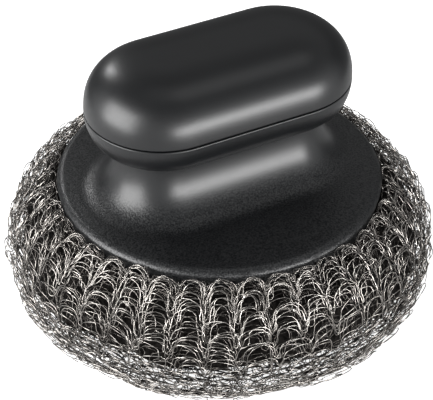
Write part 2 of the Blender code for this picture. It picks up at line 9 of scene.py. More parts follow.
import bmesh
import bpy
import numpy as np
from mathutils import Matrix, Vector


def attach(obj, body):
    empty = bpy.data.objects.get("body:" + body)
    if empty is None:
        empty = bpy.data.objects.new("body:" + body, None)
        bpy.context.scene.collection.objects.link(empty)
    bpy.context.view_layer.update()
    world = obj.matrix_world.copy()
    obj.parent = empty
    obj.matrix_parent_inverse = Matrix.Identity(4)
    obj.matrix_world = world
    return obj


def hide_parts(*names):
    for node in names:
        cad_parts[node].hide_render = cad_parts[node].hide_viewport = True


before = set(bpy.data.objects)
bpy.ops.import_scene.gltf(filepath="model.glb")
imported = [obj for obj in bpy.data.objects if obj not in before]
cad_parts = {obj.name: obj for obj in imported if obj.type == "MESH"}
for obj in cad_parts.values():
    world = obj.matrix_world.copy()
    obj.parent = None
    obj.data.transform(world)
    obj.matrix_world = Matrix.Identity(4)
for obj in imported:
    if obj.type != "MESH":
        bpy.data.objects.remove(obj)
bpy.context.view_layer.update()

MM = 0.001
TURN = 2 * math.pi
PATTERN_LOW = 0.3
PATTERN_HIGH = 0.7
WHITE = (1.0, 1.0, 1.0)
Colour = tuple[float, float, float]
Point = tuple[float, float, float]
Span = tuple[float, float]
Section = Sequence[Span]
Socket = bpy.types.NodeSocket
Outputs = bpy.types.NodeOutputs
Mesh = bpy.types.Mesh
Material = bpy.types.Material
log = logging.getLogger("grill_scourer")


class Body(Enum):
    """The moving bodies that new pieces ride on."""

    HANDLE = "handle"
    SCOURER = "scourer"


class Slot(Enum):
    """The record's material slots that new pieces belong to."""

    GRIP = "grip_plastic"
    WIRE = "knitted_wire"


class Tree:
    """A node tree under construction."""

    def __init__(self, tree: bpy.types.NodeTree) -> None:
        """Takes the tree that the nodes go into."""
        self.tree = tree

    def plug(self, value: object, socket: Socket) -> None:
        """Feeds a socket.

        Args:
            value: a field, another socket or a plain value.
            socket: the socket to feed.
        """
        if isinstance(value, Field):
            value = value.socket
        if isinstance(value, Socket):
            self.tree.links.new(value, socket)
        else:
            socket.default_value = value

    def add(self, kind: str, inputs: dict[str | int, object], **settings: object) -> Outputs:
        """Adds a node.

        Args:
            kind: the node's type.
            inputs: each input's name or number, and what feeds it.
            settings: the node's own properties.

        Returns:
            The node's outputs, by name or number.
        """
        node = self.tree.nodes.new(kind)
        for label, value in settings.items():
            setattr(node, label, value)
        for label, value in inputs.items():
            self.plug(value, node.inputs[label])
        return node.outputs

    def spread(
        self, source: Socket, start: float, end: float, low: float = 0.0, high: float = 1.0,
        eased: bool = False,
    ) -> Socket:
        """Spreads a range of a number over another range.

        Args:
            source: the number.
            start: where the result is low.
            end: where the result is high.
            low: the result at the start and before it.
            high: the result at the end and past it.
            eased: whether the change is slow at both ends, or else even.

        Returns:
            The result.
        """
        inputs = {"Value": source, "From Min": start, "From Max": end, "To Min": low, "To Max": high}
        shape = "SMOOTHSTEP" if eased else "LINEAR"
        return self.add("ShaderNodeMapRange", inputs, interpolation_type=shape)["Result"]


class Shade(Tree):
    """A material under construction, with its pattern in the piece's own coordinates."""

    def __init__(self, name: str, **constants: float | Colour) -> None:
        """Starts a Principled material.

        Args:
            name: the material's name.
            constants: values for the shader's sockets, with underscores for spaces.
        """
        self.material = bpy.data.materials.new(name)
        self.material.use_nodes = True
        super().__init__(self.material.node_tree)
        self.shader = self.tree.nodes["Principled BSDF"]
        for label, value in constants.items():
            value = (*value, 1) if isinstance(value, tuple) else value
            self.plug(value, self.shader.inputs[label.replace("_", " ")])
        self.place = self.add("ShaderNodeTexCoord", {})["Object"]

    def link(self, source: Socket, label: str) -> None:
        """Feeds one of the shader's sockets."""
        self.plug(source, self.shader.inputs[label])

    def noise(self, size: float, detail: float = 2.0, stretch: Point = (1, 1, 1)) -> Socket:
        """A cloudy number round 0.5: its features' size in metres, its finer layers and its squeeze."""
        place = self.add("ShaderNodeMapping", {"Vector": self.place, "Scale": stretch})[0]
        return self.add("ShaderNodeTexNoise", {"Vector": place, "Scale": 1 / size, "Detail": detail})["Fac"]

    def vary(self, source: Socket, value: float, factors: Span) -> Socket:
        """A value times one factor where a pattern is low and another where it is high."""
        low, high = (value * factor for factor in factors)
        return self.spread(source, PATTERN_LOW, PATTERN_HIGH, low, high)

    def blend(self, source: Socket, first: Colour, second: Colour) -> Socket:
        """A colour between two colours, by a pattern.

        Args:
            source: the pattern.
            first: the colour where the pattern is low.
            second: the colour where it is high.

        Returns:
            The colour.
        """
        colour = self.add("ShaderNodeValToRGB", {"Fac": source})["Color"]
        low, high = colour.node.color_ramp.elements
        low.position, low.color = PATTERN_LOW, (*first, 1)
        high.position, high.color = PATTERN_HIGH, (*second, 1)
        return colour

    def fade(self, start: float, end: float) -> Socket:
        """A number that goes from 0 at one height to 1 at another."""
        height = self.add("ShaderNodeSeparateXYZ", {"Vector": self.place})["Z"]
        return self.spread(height, start, end, eased=True)

    def mix(self, amount: Socket, first: Socket | float, second: Socket | float) -> Socket:
        """A number that goes from the first to the second as the amount goes from 0 to 1."""
        return self.add("ShaderNodeMix", {"Factor": amount, "A": first, "B": second})["Result"]

    def bump(
        self, source: Socket, depth: float, below: Socket | None = None, strength: Socket | float = 1.0
    ) -> Socket:
        """A bump from a pattern.

        Args:
            source: the pattern.
            depth: its height in metres.
            below: the normal of a bump under this one.
            strength: the share of the height that is used.

        Returns:
            The normal.
        """
        inputs = {"Height": source, "Distance": depth, "Strength": strength}
        if below is not None:
            inputs["Normal"] = below
        return self.add("ShaderNodeBump", inputs)["Normal"]


@dataclass(frozen=True)
class MouldedPlastic:
    """Injection-moulded plastic, satin up above and with a spark-eroded grain low down.

    A trace of the grain is left above its top, and below its full height it has its full depth.
    """

    name: str
    colour: Colour
    satin: float
    grained: float
    cloud_size: float = 9.0 * MM
    cloud_lift: float = 1.25
    ripple_size: float = 6.0 * MM
    ripple_depth: float = 0.01 * MM
    grain_size: float = 0.45 * MM
    grain_depth: float = 0.09 * MM
    grain_trace: float = 0.09
    grain_top: float = 50.0 * MM
    grain_full: float = 44.0 * MM
    satin_factors: Span = (0.94, 1.08)
    grained_factors: Span = (0.85, 1.15)
    satin_sheen: float = 0.5
    grained_sheen: Span = (0.25, 0.85)

    def material(self) -> Material:
        """Builds the finish.

        Returns:
            The material.
        """
        shade = Shade(self.name, Specular_IOR_Level=self.satin_sheen)
        lighter = tuple(channel * self.cloud_lift for channel in self.colour)
        cloud = shade.noise(self.cloud_size, detail=3)
        shade.link(shade.blend(cloud, self.colour, lighter), "Base Color")
        amount = shade.fade(self.grain_top, self.grain_full)
        grain = shade.noise(self.grain_size, detail=1)
        smooth = shade.vary(grain, self.satin, self.satin_factors)
        rough = shade.vary(grain, self.grained, self.grained_factors)
        shade.link(shade.mix(amount, smooth, rough), "Roughness")
        speckled = shade.vary(grain, 1.0, self.grained_sheen)
        shade.link(shade.mix(amount, self.satin_sheen, speckled), "Specular IOR Level")
        ripple = shade.bump(shade.noise(self.ripple_size, detail=1), self.ripple_depth)
        depth = shade.mix(amount, self.grain_trace, 1.0)
        shade.link(shade.bump(grain, self.grain_depth, ripple, depth), "Normal")
        return shade.material


@dataclass(frozen=True)
class MachinedMetal:
    """Bare or plated metal with turning marks and a little tarnish."""

    name: str
    colour: Colour
    roughness: float
    tarnish: float = 0.72
    tarnish_size: float = 2.5 * MM
    mark_size: float = 0.35 * MM
    mark_stretch: Point = (0.25, 0.25, 3)
    mark_depth: float = 0.006 * MM
    mark_factors: Span = (0.8, 1.35)

    def material(self) -> Material:
        """Builds the finish.

        Returns:
            The material.
        """
        shade = Shade(self.name, Metallic=1.0)
        dull = tuple(channel * self.tarnish for channel in self.colour)
        shade.link(shade.blend(shade.noise(self.tarnish_size, detail=4), dull, self.colour), "Base Color")
        marks = shade.noise(self.mark_size, detail=2, stretch=self.mark_stretch)
        shade.link(shade.vary(marks, self.roughness, self.mark_factors), "Roughness")
        shade.link(shade.bump(marks, self.mark_depth), "Normal")
        return shade.material


@dataclass(frozen=True)
class BrightWire:
    """Fine drawn stainless wire, a little warm and uneven from the knitting."""

    name: str
    bright: Colour = (0.47, 0.444, 0.417)
    dull: Colour = (0.16, 0.149, 0.138)
    roughness: float = 0.15
    stain_size: float = 2.0 * MM
    scuff_size: float = 0.8 * MM
    scuff_factors: Span = (0.8, 1.3)
    pit_size: float = 0.12 * MM
    pit_depth: float = 0.004 * MM

    def material(self) -> Material:
        """Builds the finish.

        Returns:
            The material.
        """
        shade = Shade(self.name, Metallic=1.0)
        shade.link(shade.blend(shade.noise(self.stain_size, detail=3), self.dull, self.bright), "Base Color")
        scuff = shade.noise(self.scuff_size, detail=2)
        shade.link(shade.vary(scuff, self.roughness, self.scuff_factors), "Roughness")
        shade.link(shade.bump(shade.noise(self.pit_size, detail=1), self.pit_depth), "Normal")
        return shade.material


@dataclass(frozen=True)
class ShadeHeart:
    """A stand-in for the inside of many layers of knit, painted dark as the shade there."""

    name: str
    dark: Colour = (0.0015, 0.0013, 0.0012)
    light: Colour = (0.014, 0.0125, 0.0115)
    roughness: float = 0.8
    sheen: float = 0.02
    strand_size: float = 1.1 * MM
    strand_depth: float = 0.4 * MM

    def material(self) -> Material:
        """Builds the finish.

        Returns:
            The material.
        """
        shade = Shade(self.name, Roughness=self.roughness, Metallic=0.0, Specular_IOR_Level=self.sheen)
        strands = shade.noise(self.strand_size, detail=3)
        shade.link(shade.blend(strands, self.dark, self.light), "Base Color")
        shade.link(shade.bump(strands, self.strand_depth), "Normal")
        return shade.material


GRIP_BLACK = MouldedPlastic("satin_black_grip", (0.0030, 0.0033, 0.0038), 0.34, 0.4)
PLATE_BLACK = MouldedPlastic("matte_black_plate", (0.012, 0.012, 0.013), 0.5, 0.55)
KNOB_GREY = MouldedPlastic("matte_grey_knob", (0.05, 0.051, 0.054), 0.45, 0.5)
ZINC = MachinedMetal("zinc_plated_steel", (0.63, 0.63, 0.60), 0.32)
PLAIN_STEEL = MachinedMetal("plain_stainless_steel", (0.60, 0.59, 0.57), 0.26)
BRASS = MachinedMetal("turned_brass", (0.70, 0.52, 0.24), 0.3)
WIRE = BrightWire("knitted_stainless_wire")
# A darker copy of the wire for the inner layers: painted shade, where the layers above keep the light out.
SHADED_INNER_WIRE = BrightWire("inner_wire_painted_shade", (0.20, 0.185, 0.17), (0.04, 0.037, 0.034), 0.2)
# A copy of the wire toned for the foot, with brighter highs and darker lows: painted light and shade low
# down.
FOOT_LIT_AND_SHADED_WIRE = BrightWire("foot_wire_painted_light_and_shade", (0.56, 0.529, 0.497), (0.09, 0.084, 0.078), 0.15)
# A much darker copy of the wire for the innermost layer: painted shade deep in the knit.
INNERMOST_SHADED_WIRE = BrightWire("innermost_wire_painted_shade", (0.05, 0.046, 0.043), (0.01, 0.009, 0.0085), 0.4)
# The heart's colour is painted shade: the dark inside of many layers of knit.
HEART_SHADE = ShadeHeart("heart_painted_shade")


def put_in_scene(name: str, data: bpy.types.ID) -> bpy.types.Object:
    """Puts a new object in the scene.

    Args:
        name: its name.
        data: its mesh, light or camera.

    Returns:
        The object.
    """
    thing = bpy.data.objects.new(name, data)
    bpy.context.scene.collection.objects.link(thing)
    return thing


def add_piece(
    name: str, mesh: Mesh, body: Body, replaced: Sequence[str] = ()
) -> bpy.types.Object:
    """Puts a finished mesh in the scene as a piece of the object.

    Args:
        name: the piece's name.
        mesh: its mesh, in place, with its material.
        body: the body that it rides on.
        replaced: the CAD nodes that it stands for.

    Returns:
        The piece.
    """
    piece = put_in_scene(name, mesh)
    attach(piece, body.value)
    if replaced:
        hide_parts(*replaced)
    mesh.calc_loop_triangles()
    log.info("%s: %d triangles, on %s", name, len(mesh.loop_triangles), body.value)
    return piece


def ring_mesh(name: str, rings: Sequence[np.ndarray], capped: bool) -> Mesh:
    """A closed mesh through rings of points that all have the same count.

    Args:
        name: the mesh's name.
        rings: arrays of points, N by 3.
        capped: whether both ends are closed by a face, or else the last ring joins the first.

    Returns:
        The mesh, with its faces outwards.
    """
    count = len(rings[0])
    here = np.arange(count)
    after = np.roll(here, -1)
    last = len(rings) - 1 if capped else len(rings)
    faces: list[list[int]] = []
    for upper in range(last):
        lower = (upper + 1) % len(rings)
        quads = [upper * count + here, upper * count + after, lower * count + after, lower * count + here]
        faces += np.stack(quads, axis=1).tolist()
    if capped:
        faces.append(here.tolist())
        faces.append((here + (len(rings) - 1) * count).tolist())
    mesh = bpy.data.meshes.new(name)
    mesh.from_pydata(np.concatenate(rings).tolist(), [], faces)
    tidy(mesh)
    return mesh


def tidy(mesh: Mesh, sharp: float = 40.0, doubled: float = 0.001 * MM) -> None:
    """Merges doubled points, turns the faces outwards and shades the mesh smooth.

    Args:
        mesh: the mesh to change.
        sharp: the angle in degrees past which an edge stays sharp.
        doubled: the distance within which points are one.
    """
    bm = bmesh.new()
    bm.from_mesh(mesh)
    bmesh.ops.remove_doubles(bm, verts=bm.verts, dist=doubled)
    bmesh.ops.recalc_face_normals(bm, faces=bm.faces)
    bm.to_mesh(mesh)
    bm.free()
    mesh.shade_smooth()
    mesh.set_sharp_from_angle(angle=math.radians(sharp))


def quarter(count: int) -> np.ndarray:
    """Even angles from 0 to a quarter turn, both included."""
    return np.linspace(0, math.pi / 2, count)


@dataclass
class Handle:
    """The palm grip, neck and skirt: a lower moulding and the cover over it.

    The counts of points are those along each part of a moulding's side.
    """

    rim_height: float = 37.0 * MM
    skirt_radius: float = 44.7 * MM
    skirt_shoulder: float = 43.3 * MM
    skirt_edge_round: float = 2.4 * MM
    skirt_edge_turn: float = 72.0
    skirt_undercut: float = 0.9 * MM
    skirt_fall: float = 0.3 * MM
    flare_reach: float = 10.4 * MM
    waist: float = 58.2 * MM
    waist_radius: float = 12.8 * MM
    waist_fillet: float = 2.2 * MM
    seam: float = 69.6 * MM
    seam_gap: float = 0.3 * MM
    seam_round: float = 0.35 * MM
    wall: float = 2.2 * MM
    centre_x: float = 16.9 * MM
    radius: float = 20.8 * MM
    cover_height: float = 15.0 * MM
    cover_flat_radius: float = 2.4 * MM
    cover_exponent: float = 2.38
    tongue: float = 1.0 * MM
    tongue_height: float = 1.8 * MM
    ring_points: int = 240
    grip_points: int = 25
    fillet_points: int = 13
    flare_points: int = 49
    skirt_points: int = 19
    edge_points: int = 9
    crown_points: int = 61
    lip_points: int = 5

    def stadium(self, centre_x: float, radius: float, height: float) -> np.ndarray:
        """Points round two half circles and the straight sides between them.

        Args:
            centre_x: the distance of each circle's centre from the Z axis.
            radius: the circles' radius.
            height: the height of all the points.

        Returns:
            The points, N by 3, evenly spread over the full grip's outline.
        """
        arc = math.pi * self.radius
        side = 2 * self.centre_x
        along = np.arange(self.ring_points) / self.ring_points * 2 * (arc + side)
        turns = np.clip(along, 0, arc) + np.clip(along - arc - side, 0, arc)
        angle = turns / self.radius - math.pi / 2
        walked = np.clip(along - arc, 0, side) - np.clip(along - 2 * arc - side, 0, side)
        x = centre_x * (1 - 2 * walked / side) + radius * np.cos(angle)
        y = radius * np.sin(angle)
        return np.stack([x, y, np.full_like(x, height)], axis=1)

    def side(self, inset: float) -> list[Point]:
        """The lower moulding's side from the seam down to the rim.

        Args:
            inset: how far it is set in from the outer surface.

        Returns:
            The path as (centre x, radius, height).
        """
        shelf = self.waist + self.waist_fillet
        shelf_radius = self.waist_radius + self.waist_fillet
        path: list[Point] = []
        for angle in quarter(self.grip_points):
            radius = shelf_radius + (self.radius - shelf_radius - inset) * math.cos(angle)
            path.append((self.centre_x, radius, self.seam - (self.seam - shelf - inset) * math.sin(angle)))
        fillet = self.waist_fillet + inset
        for angle in quarter(self.fillet_points)[1:]:
            radius = shelf_radius - fillet * math.sin(angle)
            path.append((self.centre_x, radius, self.waist + fillet * math.cos(angle)))
        shoulder = self.skirt_shoulder - inset
        flare_radius = self.waist_radius + self.flare_reach
        drop = self.waist - shoulder - self.skirt_fall
        for angle in quarter(self.flare_points)[1:]:
            radius = flare_radius - (self.flare_reach + inset) * math.cos(angle)
            path.append((self.centre_x, radius, self.waist - drop * math.sin(angle)))
        edge = max(self.skirt_edge_round - inset, 0)
        turn = math.radians(self.skirt_edge_turn)
        wide = self.skirt_radius - inset - edge * math.sin(turn)
        for share in np.linspace(0, 1, self.skirt_points)[1:]:
            radius = flare_radius + (wide - flare_radius) * share
            path.append((self.centre_x * (1 - share), radius, shoulder + self.skirt_fall * (1 - share)))
        for angle in np.linspace(0, turn, self.edge_points)[1:] if edge else ():
            path.append((0, wide + edge * math.sin(angle), shoulder - edge * (1 - math.cos(angle))))
        foot = self.skirt_radius - inset - self.skirt_undercut
        path.append((0, foot, self.rim_height + self.seam_round))
        path.append((0, foot, self.rim_height))
        return path

    def crown(self, inset: float) -> list[Point]:
        """The cover's side from its top down to the seam.

        Args:
            inset: how far it is set in from the outer surface.

        Returns:
            The path as (centre x, radius, height).
        """
        across = self.radius - self.cover_flat_radius - inset
        power = 2 / self.cover_exponent
        path: list[Point] = []
        for angle in quarter(self.crown_points)[::-1]:
            radius = self.cover_flat_radius + across * max(math.cos(angle), 0) ** power
            rise = (self.cover_height - inset) * max(math.sin(angle), 0) ** power
            path.append((self.centre_x, radius, self.seam + rise))
        return path

    def rounded_lip(self, up: float) -> list[Point]:
        """The small round at the seam's outer edge.

        Args:
            up: 1 where the moulding goes up from the seam, -1 where it goes down.

        Returns:
            The path, from the outer surface into the seam.
        """
        face = self.seam + up * self.seam_gap / 2
        path: list[Point] = []
        for angle in quarter(self.lip_points):
            radius = self.radius - self.seam_round * (1 - math.cos(angle))
            path.append((self.centre_x, radius, face + up * self.seam_round * (1 - math.sin(angle))))
        return path

    def lower_moulding(self) -> Mesh:
        """The lower grip, neck and skirt.

        Returns:
            One closed shell.
        """
        lip = self.rounded_lip(-1)
        outer = [point for point in self.side(0) if point[2] < lip[0][2]]
        inner = self.side(self.wall)[::-1]
        rebate = self.radius - self.wall + self.tongue + self.seam_gap
        floor = self.seam - self.tongue_height - self.seam_gap
        inner[-1] = (self.centre_x, inner[-1][1], floor)
        groove = [(self.centre_x, rebate, floor), (self.centre_x, rebate, lip[-1][2])]
        path = lip[::-1] + outer + inner + groove
        return ring_mesh("handle_shell", [self.stadium(*point) for point in path], capped=False)

    def cover(self) -> Mesh:
        """The upper part of the grip, with the tongue inside its foot.

        Returns:
            One closed shell.
        """
        lip = self.rounded_lip(1)
        outer = [point for point in self.crown(0) if point[2] > lip[0][2]]
        inner = self.crown(self.wall)[::-1]
        tongue = self.radius - self.wall + self.tongue
        foot = self.seam - self.tongue_height
        step = [
            (self.centre_x, tongue, lip[-1][2]),
            (self.centre_x, tongue, foot),
            (self.centre_x, self.radius - self.wall, foot),
        ]
        path = outer + lip + step + inner[1:]
        return ring_mesh("cover_shell", [self.stadium(*point) for point in path], capped=True)

    def build(self) -> None:
        """Builds both mouldings and dresses them."""
        black = GRIP_BLACK.material()
        for name, mesh, node in (
            ("grip_lower_moulding", self.lower_moulding(), "handle_body"),
            ("grip_cover_moulding", self.cover(), "grip_cover"),
        ):
            mesh.materials.append(black)
            add_piece(name, mesh, Body.HANDLE, [node])


@dataclass
class Hardware:
    """The fasteners and the plate that close the handle, kept from the CAD with their finishes."""

    screws: tuple[str, ...] = (
        "cover_screw_left", "cover_screw_right",
        "plate_screw_1", "plate_screw_2", "plate_screw_3", "plate_screw_4",
    )
    steel: tuple[str, ...] = ("centre_eyelet", "retainer_washer", "retainer_stud")

    def build(self) -> None:
        """Gives each kept node its finish."""
        self.dress(self.screws, ZINC.material())
        self.dress(self.steel, PLAIN_STEEL.material())
        self.dress(["threaded_insert"], BRASS.material())
        self.dress(["backing_plate"], PLATE_BLACK.material())
        self.dress(["retainer_knob"], KNOB_GREY.material())

    def dress(self, nodes: Iterable[str], finish: Material) -> None:
        """Puts a finish on CAD nodes.

        Args:
            nodes: the nodes' names.
            finish: the material.
        """
        for name in nodes:
            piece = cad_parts[name]
            for slot in piece.material_slots:
                slot.material = finish
            if not piece.material_slots:
                piece.data.materials.append(finish)
            log.info("%s: %s", name, finish.name)


class Field:
    """A number that varies along a wire: a node socket that sums can be written with."""

    def __init__(self, graph: "Graph", socket: Socket) -> None:
        """Wraps a socket of a tree."""
        self.graph = graph
        self.socket = socket

    def __add__(self, other: "Field | float") -> "Field":
        """The sum."""
        return self.graph.maths("ADD", self, other)

    def __sub__(self, other: "Field | float") -> "Field":
        """The difference."""
        return self.graph.maths("SUBTRACT", self, other)

    def __mul__(self, other: "Field | float") -> "Field":
        """The product."""
        return self.graph.maths("MULTIPLY", self, other)

    def __truediv__(self, other: "Field | float") -> "Field":
        """The quotient."""
        return self.graph.maths("DIVIDE", self, other)


class Graph(Tree):
    """A Geometry Nodes tree under construction, with named sizes as its inputs."""

    def __init__(self, name: str, sizes: dict[str, float | int]) -> None:
        """Starts a tree that takes a geometry, the sizes and a material.

        Args:
            name: the tree's name.
            sizes: each input's name and its value.
        """
        super().__init__(bpy.data.node_groups.new(name, "GeometryNodeTree"))
        self.sizes = sizes
        face = self.tree.interface
        kinds = {label: "Int" if isinstance(value, int) else "Float" for label, value in sizes.items()}
        for label, kind in {"Geometry": "Geometry", **kinds, "Material": "Material"}.items():
            face.new_socket(label, in_out="INPUT", socket_type=f"NodeSocket{kind}")
        face.new_socket("Geometry", in_out="OUTPUT", socket_type="NodeSocketGeometry")
        self.given = self.tree.nodes.new("NodeGroupInput").outputs

    def size(self, label: str) -> Field:
        """One of the tree's inputs."""
        return Field(self, self.given[label])

    def maths(self, operation: str, *values: Field | float) -> Field:
        """One sum, by Blender's name for it, and what it is made of in order."""
        return Field(self, self.add("ShaderNodeMath", dict(enumerate(values)), operation=operation)[0])

    def parts(self, vector: Socket) -> list[Field]:
        """The three numbers of a vector."""
        return [Field(self, socket) for socket in self.add("ShaderNodeSeparateXYZ", {"Vector": vector})]

    def cloud(self, place: dict[str | int, object], dimensions: str) -> list[Field]:
        """Three smooth numbers from -0.5 to 0.5 that look random and are the same at each run.

        Args:
            place: the place in the noise, by the name of its input.
            dimensions: Blender's name for the noise's dimensions.

        Returns:
            The numbers.
        """
        inputs = {"Scale": 1.0, "Detail": 1.0, **place}
        outputs = self.add("ShaderNodeTexNoise", inputs, noise_dimensions=dimensions)
        return [part - 0.5 for part in self.parts(outputs["Color"])]

    def wander(self, along: Field, pace: Field, start: Field) -> list[Field]:
        """Three smooth random numbers along a wire, which change at a pace in times a stitch."""
        return self.cloud({"W": along * pace + start}, "1D")

    def lumps(self, angle: Field, run: Field, radius: float) -> list[Field]:
        """Three smooth random numbers that neighbouring wires share.

        Args:
            angle: the direction from the Z axis.
            run: the place along the section.
            radius: the radius that turns angles into lengths.

        Returns:
            The numbers.
        """
        size = self.size("Lump Size")
        x = self.maths("COSINE", angle) * radius / size
        y = self.maths("SINE", angle) * radius / size
        inputs = {"X": x, "Y": y, "Z": run / size}
        return self.cloud({"Vector": self.add("ShaderNodeCombineXYZ", inputs)["Vector"]}, "3D")

    def close(self, geometry: Socket) -> None:
        """Realises the instances, sets the material and ends the tree.

        Args:
            geometry: what the tree has made.
        """
        real = self.add("GeometryNodeRealizeInstances", {"Geometry": geometry})["Geometry"]
        dressed = self.add("GeometryNodeSetMaterial", {"Geometry": real, "Material": self.given["Material"]})
        self.add("NodeGroupOutput", {"Geometry": dressed["Geometry"]})

    def run(self, name: str, start: Mesh, finish: Material) -> Mesh:
        """Runs the tree on a mesh.

        Args:
            name: the name of the result.
            start: the mesh that the tree takes as its geometry.
            finish: the material that it sets.

        Returns:
            The result as a plain mesh.
        """
        obj = put_in_scene(name, start)
        modifier = obj.modifiers.new("made_by_nodes", "NODES")
        modifier.node_group = self.tree
        values = {**self.sizes, "Material": finish}
        for item in self.tree.interface.items_tree:
            if item.in_out == "INPUT" and item.name in values:
                modifier[item.identifier] = values[item.name]
        graph = bpy.context.evaluated_depsgraph_get()
        mesh = bpy.data.meshes.new_from_object(obj.evaluated_get(graph))
        mesh.name = name
        bpy.data.objects.remove(obj)
        return mesh


@dataclass(frozen=True)
class KnitLayer:
    """One layer of weft knit: a single wire that loops round the cushion, course under course.

    A course is one turn round the cushion, and a wale is one column of loops. A loop's head rises along
    the section, reaches out of it, curls in and swells. Pleats draw the wire in between the wales. A
    wander or drift is a wire's own, and a lump is shared by the wires that lie there. The mess is least
    on the tidy side, and grows towards the back and low down.
    """

    name: str
    courses: int
    depth: float = 0.0
    wales: int = 40
    points_per_stitch: int = 12
    wire_radius: float = 0.115 * MM
    wire_sides: int = 3
    head_rise: float = 2.5 * MM
    head_reach: float = 0.0
    head_curl: float = 0.42
    head_swell: float = 0.85
    course_spread: float = 0.25
    pleat_depth: float = 1.0 * MM
    pleat_fade: float = 16.0 * MM
    course_wander: float = 5.5 * MM
    reach_wander: float = 2.2 * MM
    reach_limit: float = 1.3 * MM
    side_wander: float = 2.4
    side_drift: float = 5.2
    wander_pace: float = 0.9
    wander_start: float = 517.0
    drift_pace: float = 0.21
    drift_start: float = 911.0
    lump_size: float = 14.0 * MM
    lump_run: float = 5.0 * MM
    lump_reach: float = 2.5 * MM
    lump_side: float = 2.6
    tidy_side: float = math.radians(-117.5)
    mess: float = 1.0
    back_mess: float = 1.2
    low_mess: float = 2.2
    low_start: float = 0.45
    seed: int = 1

    def sizes(self) -> dict[str, float | int]:
        """The values of the tree's inputs, which are named as the fields are."""
        return {key.replace("_", " ").title(): value for key, value in vars(self).items() if key != "name"}

    def path(self, g: Graph, stitch: Field, share: Field, length: Field, radius: float) -> list[Field]:
        """Where the wire's centre is.

        Args:
            g: the tree.
            stitch: the place on the wire, in stitches.
            share: the place on the wire, as a share of it.
            length: the section's length.
            radius: the radius that turns angles into lengths.

        Returns:
            The angle about the Z axis, the place along the section and how far out of it the wire is.
        """
        size = g.size
        turned = g.maths("FRACT", stitch) * TURN
        down, out, aside = g.wander(stitch, size("Wander Pace"), size("Seed") * size("Wander Start"))
        slow = g.wander(stitch, size("Drift Pace"), size("Seed") * size("Drift Start"))
        cosine = g.maths("COSINE", turned)
        curl = g.maths("SINE", turned * 2) * size("Head Curl")
        swell = g.maths("SINE", turned) * size("Head Swell")
        share = share + share * (share - 1.0) * size("Course Spread")
        off = g.maths("COSINE", stitch * TURN / size("Wales") - size("Tidy Side"))
        low = g.maths("MAXIMUM", share - size("Low Start"), 0.0) * size("Low Mess")
        back = g.maths("MINIMUM", (off * -1.0 + 1.0) * size("Back Mess"), 1.0)
        mess = (back + low) * size("Mess") + 1.0
        sideways = (aside * size("Side Wander") + slow[2] * size("Side Drift")) * mess
        phase = stitch * TURN + curl + swell + sideways
        lump_run, lump_reach, lump_side = g.lumps(phase / size("Wales"), share * length, radius)
        angle = (phase + lump_side * size("Lump Side")) / size("Wales")
        run = size("Head Rise") + share * (length - size("Head Rise") * 2) - cosine * size("Head Rise")
        run = run + (down + slow[0]) * size("Course Wander") + lump_run * size("Lump Run")
        fade = g.maths("MINIMUM", (length - share * length) / size("Pleat Fade"), 1.0)
        pleat = (g.maths("COSINE", phase) - 1.0) * size("Pleat Depth") / 2 * fade
        reach = cosine * size("Head Reach") + (out + slow[1]) * size("Reach Wander") - size("Depth")
        reach = g.maths("MINIMUM", reach + pleat + lump_reach * size("Lump Reach"), size("Reach Limit"))
        return [angle, run, reach]

    def tree(self, floor: float, skirt: float, ceiling: float) -> Graph:
        """The tree that lays the wire along a section turned about the Z axis.

        Args:
            floor: the lowest height of the wire's centre.
            skirt: the radius that the wire stays outside of where it is above the ceiling.
            ceiling: the height that only wire outside the skirt goes past.

        Returns:
            The tree.
        """
        g = Graph(self.name, self.sizes())
        section = g.add("GeometryNodeMeshToCurve", {"Mesh": g.given["Geometry"]})["Curve"]
        length = Field(g, g.add("GeometryNodeCurveLength", {"Curve": section})["Length"])
        stitches = g.size("Courses") * g.size("Wales")
        count = stitches * g.size("Points Per Stitch") + 1
        line = g.add("GeometryNodeMeshLine", {"Count": count})["Mesh"]
        stitch = Field(g, g.add("GeometryNodeInputIndex", {})[0]) / g.size("Points Per Stitch")
        angle, run, reach = self.path(g, stitch, stitch / stitches, length, skirt)
        inputs = {"Curves": section, "Length": run}
        sampled = g.add("GeometryNodeSampleCurve", inputs, mode="LENGTH", use_all_curves=True)
        radius, _, height = g.parts(sampled["Position"])
        along_r, _, along_z = g.parts(sampled["Tangent"])
        height = g.maths("MAXIMUM", height + along_r * reach, floor)
        above = g.maths("GREATER_THAN", height, ceiling)
        radius = g.maths("MAXIMUM", radius - along_z * reach, above * skirt)
        x = radius * g.maths("COSINE", angle)
        y = radius * g.maths("SINE", angle)
        place = g.add("ShaderNodeCombineXYZ", {"X": x, "Y": y, "Z": height})["Vector"]
        moved = g.add("GeometryNodeSetPosition", {"Geometry": line, "Position": place})["Geometry"]
        wire = g.add("GeometryNodeMeshToCurve", {"Mesh": moved})["Curve"]
        inputs = {"Resolution": g.size("Wire Sides"), "Radius": g.size("Wire Radius")}
        ring = g.add("GeometryNodeCurvePrimitiveCircle", inputs)["Curve"]
        inputs = {"Curve": wire, "Profile Curve": ring, "Fill Caps": True}
        tube = g.add("GeometryNodeCurveToMesh", inputs)["Mesh"]
        g.close(g.add("GeometryNodeSetShadeSmooth", {"Geometry": tube})["Geometry"])
        return g


